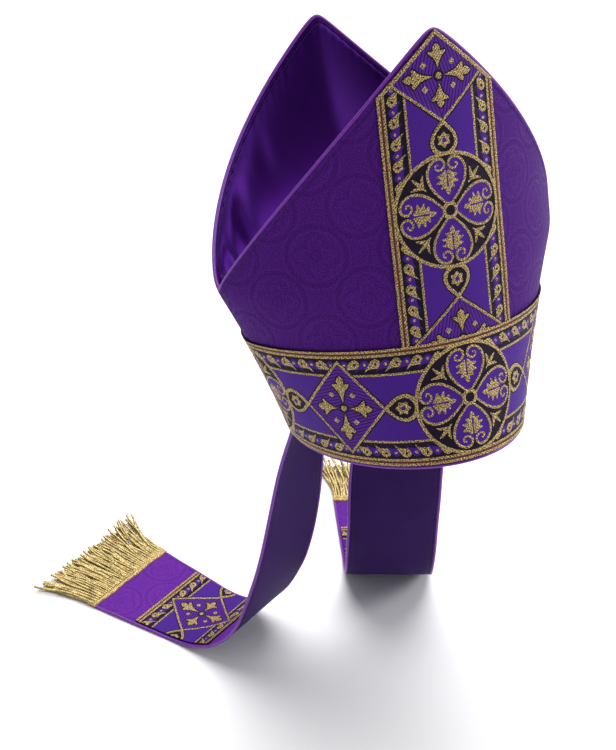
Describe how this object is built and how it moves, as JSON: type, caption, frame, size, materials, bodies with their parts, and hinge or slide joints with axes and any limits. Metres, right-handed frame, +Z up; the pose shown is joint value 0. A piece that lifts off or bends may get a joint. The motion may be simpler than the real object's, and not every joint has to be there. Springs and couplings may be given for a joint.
{
  "type": "bishop mitre",
  "caption": "Tall pointed hat of two stiff damask horns with woven galloon bands, satin crown web and two fringed lappets.",
  "frame": {"origin": "centre of the head opening, in the plane of the rim, where the mitre sits on a head", "axes": "+Z up through the wearer's head, front towards -Y, wearer's left towards +X; the mitre leans back 14 degrees on the head"},
  "size_m": [0.4512, 0.4578, 0.6207],
  "materials": {
    "damask": "violet silk damask with a tone-on-tone figure",
    "satin": "glossy violet satin lining",
    "piping": "satin-covered cord, brighter violet",
    "galloon": "woven galloon, gold figures on violet and near-black",
    "gold_braid": "woven gold thread",
    "gold_fringe": "twisted gold bullion"
  },
  "bodies": {
    "root": {"horn_front": "damask", "horn_back": "damask", "crown_web": "satin", "circulus": "galloon", "titulus_front": "galloon", "titulus_back": "galloon", "piping_horn_front": "piping", "piping_horn_back": "piping", "piping_rim": "piping", "lappet_right": "damask", "lappet_right_galloon": "galloon", "lappet_right_piping_inner": "piping", "lappet_right_piping_outer": "piping", "lappet_right_braid": "gold_braid", "lappet_right_fringe": "gold_fringe", "lappet_left": "damask", "lappet_left_galloon": "galloon", "lappet_left_piping_inner": "piping", "lappet_left_piping_outer": "piping", "lappet_left_braid": "gold_braid", "lappet_left_fringe": "gold_fringe"}
  },
  "joints": []
}
